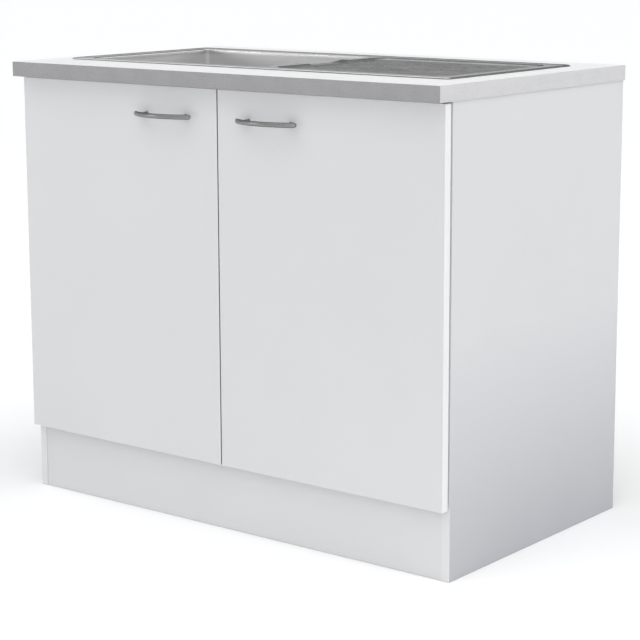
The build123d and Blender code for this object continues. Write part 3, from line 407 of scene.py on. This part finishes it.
def stone_print(name, dark, pale, roughness, specular=0.4):
    """A mottled stone print: soft clouds with fine light and dark grains in them."""
    finish = Finish(name, specular=specular)
    clouds = finish.between(finish.noise(24.0, detail=4.0, roughness=0.6), 0.0, 0.35, 0.3, 0.7)
    grains = finish.noise(330.0, detail=3.0, roughness=0.8)
    tone = finish.step("ADD", clouds, finish.between(grains, 0.0, 0.65, 0.38, 0.62))
    fleck = finish.between(finish.cells(210.0), 0.6, 0.0, 0.08, 0.22)
    finish.colour(finish.mixed(fleck, finish.mixed(tone, dark, pale), dimmed(dark, 0.62)))
    finish.rough(finish.between(grains, roughness - 0.06, roughness + 0.06, 0.3, 0.7))
    finish.bump(grains, 0.00005, 0.5)
    return finish


def add_piece(name, shape, finish, body, slot, *replaced):
    """Closes a mesh, makes its object, lets it ride on its body and take the place of CAD nodes."""
    bmesh.ops.remove_doubles(shape, verts=shape.verts, dist=WELD_DISTANCE)
    bmesh.ops.recalc_face_normals(shape, faces=shape.faces)
    mesh = bpy.data.meshes.new(name)
    shape.to_mesh(mesh)
    shape.free()
    mesh.materials.append(finish.material)
    mesh.shade_smooth()
    mesh.set_sharp_from_angle(angle=SHARP_ANGLE)
    piece = bpy.data.objects.new(name, mesh)
    bpy.context.scene.collection.objects.link(piece)
    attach(piece, body)
    if replaced:
        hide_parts(*replaced)
    return piece


dress(stone_print("laminate_top", LAMINATE_DARK, LAMINATE_PALE, 0.5), "worktop_laminate")
front_print = stone_print("front_edge_print", FRONT_DARK, FRONT_PALE, 0.55, 0.25)
end_print = stone_print("end_edge_print", END_DARK, END_PALE, 0.45)
for node, finish in (("worktop_front_band", front_print), ("worktop_left_band", end_print),
                     ("worktop_right_band", end_print)):
    low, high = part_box(node)
    band = bmesh.new()
    bmesh.ops.create_cube(band, size=1.0)
    bmesh.ops.scale(band, verts=band.verts, vec=high - low)
    bmesh.ops.translate(band, verts=band.verts, vec=(low + high) / 2)
    bmesh.ops.bevel(band, geom=band.edges[:], offset=BAND_ROUNDING, segments=3, affect="EDGES",
                    profile=0.5, material=-1)
    add_piece("rounded_" + node, band, finish, "cabinet", "worktop_edge", node)

# ------------------------------------------------------------------ pressed steel sink
# One stainless sheet of 1 mm, pressed and welded: a raised edge on the worktop, a level land, a
# bowl on the left, and a sunk drainer with raised ribs and a shallow channel into the bowl. Edge
# and land are polished, the drainer brushed, the bowl satin, and fine scratches veil all of it.
STEEL = (0.56, 0.56, 0.555)
SCRATCH_VEIL = 0.17
BOWL_STEEL = (0.70, 0.70, 0.695)
SHEET = 0.001
RIM_CORNER = 0.012
LIP_GAP = 0.0008
LIP_TURN = 0.0007
LIP_ROUND = 0.0003
FACE_RUN = 0.0024
FACE_HEIGHT = 0.0026
RIM_HEIGHT = 0.003
CREST_INSET = 0.0040
BEAD_WIDTH = 0.0080
LAND_HEIGHT = 0.0024
SMALL_CORNER = 0.002
SUPPORT_LOOP = 0.0015
BOWL_CORNER = 0.010
BOWL_EDGE = 0.0025
BOWL_FLOOR_CURVE = 0.010
BOWL_TOP_RING = 0.010
BOWL_FOOT_RING = 0.004
PAN_MARGIN = 0.030
PAN_BOWL_LAND = 0.024
PAN_DEPTH = 0.006
PAN_CORNER = 0.028
PAN_WALL_RUN = 0.0102
RIB_COUNT = 13
RIB_PITCH = 0.025
RIB_WIDTH = 0.009
RIB_HEIGHT = 0.0025
RIB_END_MARGIN = 0.014
RIB_CORNER = 0.0042
RIB_SKIRT = 0.0004
RIB_FOOT = 0.0014
RIB_CROWN = 0.0038
CHANNEL_WIDTH = 0.120
CHANNEL_DEPTH = 0.004
CHANNEL_SLOPE = 0.012
TOLERANCE = 0.001
POLISH_ENDS = (0.003, 0.001)
SATIN_BEGINS = (0.001, 0.006)
WASTE_HOLE = 0.0425
CORNER_STEPS = 8
SIDE_STEPS = 24
ROUND_STEPS = 64

sink_low, sink_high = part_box("sink_deck")
bowl_low, bowl_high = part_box("sink_bowl")
worktop_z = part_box("worktop_laminate")[1].z
land_z = worktop_z + LAND_HEIGHT
pan_z = land_z - PAN_DEPTH
bowl_floor_z = bowl_low.z + SHEET
sink_spans = ((sink_low.x, sink_high.x), (sink_low.y, sink_high.y))
bowl_spans = ((bowl_low.x + SHEET, bowl_high.x - SHEET), (bowl_low.y + SHEET, bowl_high.y - SHEET))
pan_spans = ((bowl_spans[0][1] + PAN_BOWL_LAND, sink_high.x - PAN_MARGIN),
             (sink_low.y + PAN_MARGIN, sink_high.y - PAN_MARGIN))
waste_centre = (sum(bowl_spans[0]) / 2, sum(bowl_spans[1]) / 2)


def rounded_ring(spans, inset, corner, z, side_steps=1):
    """Points round a rectangle with round corners, moved inwards; their number stays the same."""
    radius = max(corner - inset, SMALL_CORNER)
    low_x, high_x = spans[0][0] + inset + radius, spans[0][1] - inset - radius
    low_y, high_y = spans[1][0] + inset + radius, spans[1][1] - inset - radius
    centres = [Vector(place) for place in
               ((high_x, high_y, z), (low_x, high_y, z), (low_x, low_y, z), (high_x, low_y, z))]
    points = []
    for number, centre in enumerate(centres):
        for step in range(CORNER_STEPS + 1):
            angle = math.pi / 2 * (number + step / CORNER_STEPS)
            points.append(centre + radius * Vector((math.cos(angle), math.sin(angle), 0.0)))
        side = centres[(number + 1) % 4] - centre
        corner_end = points[-1]
        points += [corner_end + side * step / side_steps for step in range(1, side_steps)]
    return points


def round_ring(centre, radius, z, steps=ROUND_STEPS):
    """Points round an upright axis."""
    angles = [2 * math.pi * step / steps for step in range(steps)]
    return [Vector((centre[0] + radius * math.cos(angle), centre[1] + radius * math.sin(angle), z))
            for angle in angles]


def sweep(shape, rings):
    """Extrudes a ring of points from place to place; returns its first and its last edges."""
    ring = bmesh.ops.create_circle(shape, segments=len(rings[0]), radius=1.0)["verts"]
    order = {vert: number for number, vert in enumerate(ring)}
    for vert, number in order.items():
        vert.co = rings[0][number]
    edges = list({edge for vert in ring for edge in vert.link_edges})
    first = edges
    for points in rings[1:]:
        made = bmesh.ops.extrude_edge_only(shape, edges=edges)["geom"]
        fresh = [item for item in made if isinstance(item, bmesh.types.BMVert)]
        follows = {}
        for vert in fresh:
            for edge in vert.link_edges:
                if edge.other_vert(vert) in order:
                    follows[vert] = order[edge.other_vert(vert)]
        for vert, number in follows.items():
            vert.co = points[number]
        order = follows
        edges = [item for item in made if isinstance(item, bmesh.types.BMEdge)
                 and item.verts[0] in order and item.verts[1] in order]
    return first, edges


def eased(share):
    """0 to 1 with a soft start and a soft end, and an even slope between."""
    return (share + 3 * share ** 2 - 2 * share ** 3) / 2


def curve(start, end, steps):
    """(run, rise) pairs of an S curve from one pair to another, without the first."""
    shares = [step / steps for step in range(1, steps + 1)]
    return [(start[0] + (end[0] - start[0]) * share, start[1] + (end[1] - start[1]) * eased(share))
            for share in shares]


def arc(start, end, steps, steep_first):
    """(run, rise) pairs of a quarter ellipse from one pair to another, without the first."""
    pairs = []
    for step in range(1, steps + 1):
        angle = math.pi / 2 * step / steps
        steep, level = 1 - math.cos(angle), math.sin(angle)
        run, rise = (steep, level) if steep_first else (level, steep)
        pairs.append((start[0] + (end[0] - start[0]) * run, start[1] + (end[1] - start[1]) * rise))
    return pairs


def rings_of(profile, spans, corner, z, side_steps=1):
    """One ring of points for each (inset, rise) pair of a profile."""
    return [rounded_ring(spans, inset, corner, z + rise, side_steps) for inset, rise in profile]


sheet = bmesh.new()
rim_profile = [(LIP_TURN, LIP_GAP), (LIP_ROUND / 3, LIP_GAP + LIP_ROUND / 3), (0.0, LIP_GAP + LIP_ROUND)]
rim_profile += [(FACE_RUN, FACE_HEIGHT)]
rim_profile += arc((FACE_RUN, FACE_HEIGHT), (CREST_INSET, RIM_HEIGHT), 5, True)
rim_profile += curve((CREST_INSET, RIM_HEIGHT), (BEAD_WIDTH, LAND_HEIGHT), 6)
rim_profile += [(BEAD_WIDTH + SUPPORT_LOOP, LAND_HEIGHT)]
land_border = sweep(sheet, rings_of(rim_profile, sink_spans, RIM_CORNER, worktop_z))[1]

floor_drop = bowl_floor_z - land_z
wall_foot = floor_drop + BOWL_FLOOR_CURVE
bowl_profile = [(-BOWL_EDGE - SUPPORT_LOOP, 0.0), (-BOWL_EDGE, 0.0)]
bowl_profile += arc((-BOWL_EDGE, 0.0), (0.0, -BOWL_EDGE), 6, False)
bowl_profile += [(0.0, height) for height in
                 (-BOWL_TOP_RING, floor_drop / 2, wall_foot + BOWL_FOOT_RING, wall_foot)]
bowl_profile += arc((0.0, wall_foot), (BOWL_FLOOR_CURVE, floor_drop), 6, True)
bowl_profile += [(BOWL_FLOOR_CURVE + SUPPORT_LOOP, floor_drop)]
bowl_mouth, bowl_foot = sweep(sheet, rings_of(bowl_profile, bowl_spans, BOWL_CORNER, land_z, SIDE_STEPS))
waste_border = sweep(sheet, [round_ring(waste_centre, WASTE_HOLE + SUPPORT_LOOP, bowl_floor_z),
                             round_ring(waste_centre, WASTE_HOLE, bowl_floor_z)])[0]
bmesh.ops.triangle_fill(sheet, use_beauty=True, edges=bowl_foot + waste_border)

pan_profile = [(-SUPPORT_LOOP, 0.0), (0.0, 0.0)]
pan_profile += curve((0.0, 0.0), (PAN_WALL_RUN, -PAN_DEPTH), 8)
pan_profile += [(PAN_WALL_RUN + SUPPORT_LOOP, -PAN_DEPTH)]
pan_mouth, pan_foot = sweep(sheet, rings_of(pan_profile, pan_spans, PAN_CORNER, land_z, SIDE_STEPS))
bmesh.ops.triangle_fill(sheet, use_beauty=True, edges=land_border + bowl_mouth + pan_mouth)

rib_ends = (pan_spans[0][0] + RIB_END_MARGIN, pan_spans[0][1] - RIB_END_MARGIN)
rib_profile = [(-RIB_FOOT - RIB_SKIRT, 0.0), (-RIB_FOOT, 0.0)]
rib_profile += curve((-RIB_FOOT, 0.0), (RIB_CROWN, RIB_HEIGHT), 9)
rib_feet = []
for number in range(RIB_COUNT):
    rib_y = waste_centre[1] + (number - (RIB_COUNT - 1) / 2) * RIB_PITCH
    rib_spans = (rib_ends, (rib_y - RIB_WIDTH / 2, rib_y + RIB_WIDTH / 2))
    foot, crown = sweep(sheet, rings_of(rib_profile, rib_spans, RIB_CORNER, pan_z))
    bmesh.ops.triangle_fill(sheet, use_beauty=True, edges=crown)
    rib_feet += foot
bmesh.ops.triangle_fill(sheet, use_beauty=True, edges=pan_foot + rib_feet)

for vert in sheet.verts:
    beside_bowl = bowl_spans[0][1] - TOLERANCE < vert.co.x < pan_spans[0][0] + PAN_WALL_RUN + SUPPORT_LOOP
    if beside_bowl and vert.co.z > pan_z - TOLERANCE:
        share = min(max((CHANNEL_WIDTH / 2 - abs(vert.co.y - waste_centre[1])) / CHANNEL_SLOPE, 0.0), 1.0)
        vert.co.z = min(vert.co.z, land_z - CHANNEL_DEPTH * eased(share))

steel = Finish("brushed_steel", metallic=1.0 - SCRATCH_VEIL)
strokes = steel.noise(900.0, steel.stretched((0.02, 1.0, 1.0)), roughness=0.7)
wear = steel.noise(14.0, detail=4.0)
in_bowl = steel.between(steel.axis("Z"), 0.0, 1.0, *[pan_z - depth for depth in SATIN_BEGINS])
on_land = steel.between(steel.axis("Z"), 0.0, 1.0, *[land_z - depth for depth in POLISH_ENDS])
smoothest = steel.between(on_land, 0.20, 0.09)
roughest = steel.between(on_land, 0.34, 0.15)
brushed = steel.between(strokes, smoothest, roughest, 0.3, 0.7)
satin_bowl = steel.between(strokes, 0.38, 0.46, 0.3, 0.7)
steel.colour(steel.mixed(in_bowl, steel.mixed(wear, dimmed(STEEL, 0.86), STEEL),
                         steel.mixed(wear, dimmed(BOWL_STEEL, 0.92), BOWL_STEEL)))
outside_bowl = steel.step("MULTIPLY", steel.step("SUBTRACT", 1.0, in_bowl), brushed)
unworn = steel.step("MULTIPLY_ADD", in_bowl, satin_bowl, outside_bowl)
steel.rough(steel.step("ADD", unworn, steel.between(wear, 0.0, 0.06, 0.4, 0.7)))
steel.bump(strokes, 0.00002, 0.5)

pressed_sink = add_piece("pressed_sink", sheet, steel, "cabinet", "stainless_steel", "sink_deck", "sink_bowl")
thickness = pressed_sink.modifiers.new("sheet_thickness", "SOLIDIFY")
thickness.thickness = SHEET
thickness.offset = -1.0

# ------------------------------------------------------------------ foam seal
# A strip of dark closed-cell foam, glued under the sink's raised edge. The clips squeeze it flat on
# the worktop, so that no water runs into the cut-out.
FOAM = (0.10, 0.10, 0.105)
SEAL_OUTLINE = ((0.0016, 0.0001), (0.0013, 0.0006), (0.0015, 0.0012), (0.0022, 0.0016), (0.0080, 0.0016),
                (0.0088, 0.0012), (0.0090, 0.0006), (0.0087, 0.0001), (0.0016, 0.0001))

foam = Finish("closed_cell_foam", roughness=0.9, specular=0.2)
foam_cells = foam.cells(1100.0)
foam.colour(foam.mixed(foam_cells, FOAM, dimmed(FOAM, 1.9)))
foam.bump(foam_cells, 0.0002)
seal = bmesh.new()
sweep(seal, rings_of(SEAL_OUTLINE, sink_spans, RIM_CORNER, worktop_z))
add_piece("foam_strip", seal, foam, "cabinet", "grey_foam", "sink_seal")

# ------------------------------------------------------------------ waste, overflow and trap
# Polished pressed steel shows in the bowl: the strainer cup with its lift-out basket, and the
# overflow plate. Below hang white polypropylene mouldings, sealed with black rubber rings and
# pulled tight by union nuts; one long screw clamps cup and housing on the bowl's floor.
POLISHED = (0.70, 0.70, 0.69)
RUBBER = (0.022, 0.022, 0.023)
PLASTIC = (0.80, 0.80, 0.785)

polished = Finish("polished_steel", metallic=1.0)
scuffs = polished.noise(240.0, detail=5.0, roughness=0.7)
polished.colour(polished.mixed(polished.noise(30.0), dimmed(POLISHED, 0.9), POLISHED))
polished.rough(polished.between(scuffs, 0.10, 0.24, 0.35, 0.75))
polished.bump(scuffs, 0.00002, 0.4)
dress(polished, "strainer_cup", "waste_screw", "overflow_plate", "overflow_screw", "basket", "basket_knob")

rubber = Finish("black_rubber", specular=0.3)
bloom = rubber.noise(500.0, detail=5.0)
rubber.colour(rubber.mixed(bloom, RUBBER, dimmed(RUBBER, 2.2)))
rubber.rough(rubber.between(bloom, 0.55, 0.75))
rubber.bump(bloom, 0.00006)
dress(rubber, "waste_gasket", "overflow_gasket", "trap_seal_rings", "basket_stopper")

moulded = Finish("moulded_plastic", specular=0.45)
flow = moulded.noise(22.0, detail=3.0)
pits = moulded.noise(700.0, detail=2.0)
moulded.colour(moulded.mixed(flow, dimmed(PLASTIC, 0.94), PLASTIC))
moulded.rough(moulded.between(pits, 0.32, 0.46, 0.3, 0.7))
moulded.bump(pits, 0.00004, 0.6)
dress(moulded, "waste_housing", "overflow_elbow", "tail_pipe", "trap_bend", "outlet_pipe", "trap_union_nuts")

# ------------------------------------------------------------------ overflow hose
# A corrugated hose of thin grey plastic with a smooth cuff at each end. It is pushed over the
# overflow's elbow, hangs down, bends once and slides over the waste housing's side branch.
HOSE_GREY = (0.56, 0.57, 0.57)
HOSE_CREST = 0.0146
HOSE_ROOT = 0.0126
HOSE_CUFF = 0.0134
HOSE_WALL = 0.0011
CUFF_LENGTH = 0.024
CUFF_ROUND = 0.0006
CORRUGATION = 0.006
CORRUGATION_STEPS = 10
CREST_FULLNESS = 0.7
BEND_RADIUS = 0.050
HOSE_SIDES = 36

hose_finish = Finish("hose_plastic", specular=0.4)
haze = hose_finish.noise(90.0, detail=4.0)
hose_finish.colour(hose_finish.mixed(haze, dimmed(HOSE_GREY, 0.88), HOSE_GREY))
hose_finish.rough(hose_finish.between(haze, 0.36, 0.50, 0.3, 0.7))
hose_finish.bump(hose_finish.noise(800.0), 0.00004, 0.6)

hose_low, hose_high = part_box("overflow_hose")
hose_x = (hose_low.x + hose_high.x) / 2
drop_y = hose_high.y - HOSE_CREST
level_z = hose_low.z + HOSE_CREST
drop_length = hose_high.z - level_z - BEND_RADIUS
bend_length = BEND_RADIUS * math.pi / 2
hose_length = drop_length + bend_length + drop_y - BEND_RADIUS - hose_low.y


def hose_place(along):
    """The hose's centre and its direction, at a length from its upper end."""
    if along < drop_length:
        return Vector((hose_x, drop_y, hose_high.z - along)), Vector((0.0, 0.0, -1.0))
    if along < drop_length + bend_length:
        angle = (along - drop_length) / BEND_RADIUS
        back = BEND_RADIUS * (1 - math.cos(angle))
        down = BEND_RADIUS * math.sin(angle)
        centre = Vector((hose_x, drop_y - back, level_z + BEND_RADIUS - down))
        return centre, Vector((0.0, -math.sin(angle), -math.cos(angle)))
    rest = along - drop_length - bend_length
    return Vector((hose_x, drop_y - BEND_RADIUS - rest, level_z)), Vector((0.0, -1.0, 0.0))


ribbed_length = hose_length - 2 * CUFF_LENGTH
crests = round(ribbed_length / CORRUGATION)
stations = [(0.0, HOSE_ROOT), (CUFF_ROUND, HOSE_CUFF), (CUFF_LENGTH - CUFF_ROUND, HOSE_CUFF)]
for step in range(CORRUGATION_STEPS * crests + 1):
    share = step / (CORRUGATION_STEPS * crests)
    swell = (0.5 - 0.5 * math.cos(2 * math.pi * crests * share)) ** CREST_FULLNESS
    stations.append((CUFF_LENGTH + ribbed_length * share, HOSE_ROOT + (HOSE_CREST - HOSE_ROOT) * swell))
stations += [(hose_length - CUFF_LENGTH + CUFF_ROUND, HOSE_CUFF), (hose_length - CUFF_ROUND, HOSE_CUFF),
             (hose_length, HOSE_ROOT)]
across = Vector((1.0, 0.0, 0.0))
hose_rings = []
for along, radius in stations:
    centre, ahead = hose_place(along)
    other = ahead.cross(across)
    hose_rings.append([centre + radius * (math.cos(angle) * across + math.sin(angle) * other)
                       for angle in [2 * math.pi * step / HOSE_SIDES for step in range(HOSE_SIDES)]])
hose = bmesh.new()
sweep(hose, hose_rings)
ribbed_hose = add_piece("ribbed_hose", hose, hose_finish, "cabinet", "grey_hose", "overflow_hose")
hose_wall = ribbed_hose.modifiers.new("hose_wall", "SOLIDIFY")
hose_wall.thickness = HOSE_WALL
hose_wall.offset = -1.0

# ------------------------------------------------------------------ doors
# Two doors of the same film-faced chipboard, with a white plastic band on all four edges. A line of
# painted shade darkens the narrow gap where they meet.
BAND_WHITE = (0.80, 0.80, 0.805)
DOOR_EDGES = ("-X", "+X", "-Z", "+Z")

board_finish("film_left_door", "left_door", banded=DOOR_EDGES, band=BAND_WHITE, painted_gap_shade="+X")
board_finish("film_right_door", "right_door", banded=DOOR_EDGES, band=BAND_WHITE, painted_gap_shade="-X")

# ------------------------------------------------------------------ hinges and pads
# Concealed hinges, folded and pressed from steel and nickel-plated: the cups are screwed into the
# doors, the plates onto the side panels. Small clear pads soften the stop against the cabinet.
NICKEL = (0.62, 0.60, 0.56)
PAD_CLEAR = (0.78, 0.79, 0.78)

nickel = Finish("nickel_plate", metallic=1.0)
bath = nickel.noise(120.0, detail=4.0)
nickel.colour(nickel.mixed(bath, dimmed(NICKEL, 0.88), NICKEL))
nickel.rough(nickel.between(bath, 0.20, 0.32, 0.3, 0.7))
nickel.bump(nickel.noise(700.0), 0.00003, 0.5)
dress(nickel, "left_hinge_arms", "right_hinge_arms", "left_hinge_plates", "right_hinge_plates",
      "left_hinge_cups", "right_hinge_cups", "left_hinge_pins", "right_hinge_pins")

pad = Finish("clear_pad")
pad_haze = pad.noise(400.0, detail=3.0)
pad.colour(pad.mixed(pad_haze, dimmed(PAD_CLEAR, 0.9), PAD_CLEAR))
pad.rough(pad.between(pad_haze, 0.22, 0.34, 0.3, 0.7))
pad.bump(pad_haze, 0.00003, 0.5)
dress(pad, "left_bumpers", "right_bumpers")

# ------------------------------------------------------------------ bow handles
# Die-cast bars with an oval section and round ends, bent in a shallow bow and plated in satin
# nickel, brushed along the bar, with painted dark reflections along the top and bottom. Two posts
# stand on the door, held by screws from behind.
SATIN = (0.30, 0.30, 0.296)
PAINTED_DARK_REFLECTION = (0.055, 0.055, 0.055)
HANDLE_LENGTH = 0.137
BAR_HEIGHT = 0.009
BAR_DEPTH = 0.0064
END_STANDOFF = 0.010
MIDDLE_STANDOFF = 0.032
POST_SPACING = 0.096
POST_RADIUS = 0.0032
POST_FOOT = 0.0038
FOOT_HEIGHT = 0.0012
FOOT_TAPER = 0.0012
TAPER_SHARES = (0.25, 0.6, 1.0)
PAINTED_REFLECTION_HEIGHTS = (0.25 * BAR_HEIGHT, 0.48 * BAR_HEIGHT)
BAR_SIDES = 32
BAR_STEPS = 56
TIP_STEPS = 8

satin = Finish("satin_nickel", metallic=1.0)
lines = satin.noise(1100.0, satin.stretched((0.03, 1.0, 1.0)), roughness=0.7)
handle_low, handle_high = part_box("left_handle")
handle_z = (handle_low.z + handle_high.z) / 2
# Painted reflection: the bar's top and bottom are coloured near black, as if they mirrored something dark.
off_middle = satin.step("ABSOLUTE", satin.step("SUBTRACT", satin.axis("Z"), handle_z), 0.0)
painted_reflection_share = satin.between(off_middle, 0.0, 1.0, *PAINTED_REFLECTION_HEIGHTS)
satin.colour(satin.mixed(painted_reflection_share, satin.mixed(lines, dimmed(SATIN, 0.82), SATIN), PAINTED_DARK_REFLECTION))
satin.rough(satin.between(lines, 0.24, 0.38, 0.3, 0.7))
satin.bump(lines, 0.00003, 0.6)

door_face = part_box("left_door")[0].y
half_length = HANDLE_LENGTH / 2
bow_rise = MIDDLE_STANDOFF - END_STANDOFF
bow_radius = (half_length ** 2 + bow_rise ** 2) / (2 * bow_rise)
half_angle = math.asin(half_length / bow_radius)
tip_angle = BAR_HEIGHT / 2 / bow_radius
tip_angles = [tip_angle * (1 - math.cos(math.pi / 2 * step / TIP_STEPS)) for step in range(1, TIP_STEPS + 1)]


def bar_rings(bow_centre):
    """The bar's oval sections from end to end, which shrink over its round ends."""
    middle = half_angle - tip_angle
    angles = [-half_angle + angle for angle in tip_angles]
    angles += [-middle + 2 * middle * step / BAR_STEPS for step in range(1, BAR_STEPS)]
    angles += [half_angle - angle for angle in reversed(tip_angles)]
    rings = []
    for angle in angles:
        outwards = Vector((math.sin(angle), -math.cos(angle), 0.0))
        to_tip = min((half_angle - abs(angle)) / tip_angle, 1.0)
        share = math.sqrt(max(1 - (1 - to_tip) ** 2, 0.0))
        section = []
        for step in range(BAR_SIDES):
            turn = 2 * math.pi * step / BAR_SIDES
            offset = BAR_DEPTH / 2 * math.cos(turn) * outwards
            offset.z = BAR_HEIGHT / 2 * math.sin(turn)
            section.append(bow_centre + bow_radius * outwards + share * offset)
        rings.append(section)
    return rings


def post_rings(bow_centre, offset):
    """One post's sections, from its wider foot on the door to the middle of the bar."""
    profile = [(POST_FOOT, door_face), (POST_FOOT, door_face - FOOT_HEIGHT)]
    profile += [(POST_FOOT - (POST_FOOT - POST_RADIUS) * share, door_face - FOOT_HEIGHT - FOOT_TAPER * share)
                for share in TAPER_SHARES]
    profile += [(POST_RADIUS, bow_centre.y - math.sqrt(bow_radius ** 2 - offset ** 2))]
    rings = []
    for radius, y in profile:
        ring = round_ring((bow_centre.x + offset, bow_centre.z), radius, 0.0, BAR_SIDES)
        rings.append([Vector((point.x, y, point.y)) for point in ring])
    return rings


for side in ("left", "right"):
    low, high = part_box(side + "_handle")
    bow_centre = (low + high) / 2
    bow_centre.y = door_face - MIDDLE_STANDOFF + bow_radius
    handle = bmesh.new()
    for border in sweep(handle, bar_rings(bow_centre)):
        bmesh.ops.edgeloop_fill(handle, edges=border)
    for offset in (-POST_SPACING / 2, POST_SPACING / 2):
        sweep(handle, post_rings(bow_centre, offset))
    add_piece(side + "_bow_handle", handle, satin, side + "_door", "satin_steel", side + "_handle")
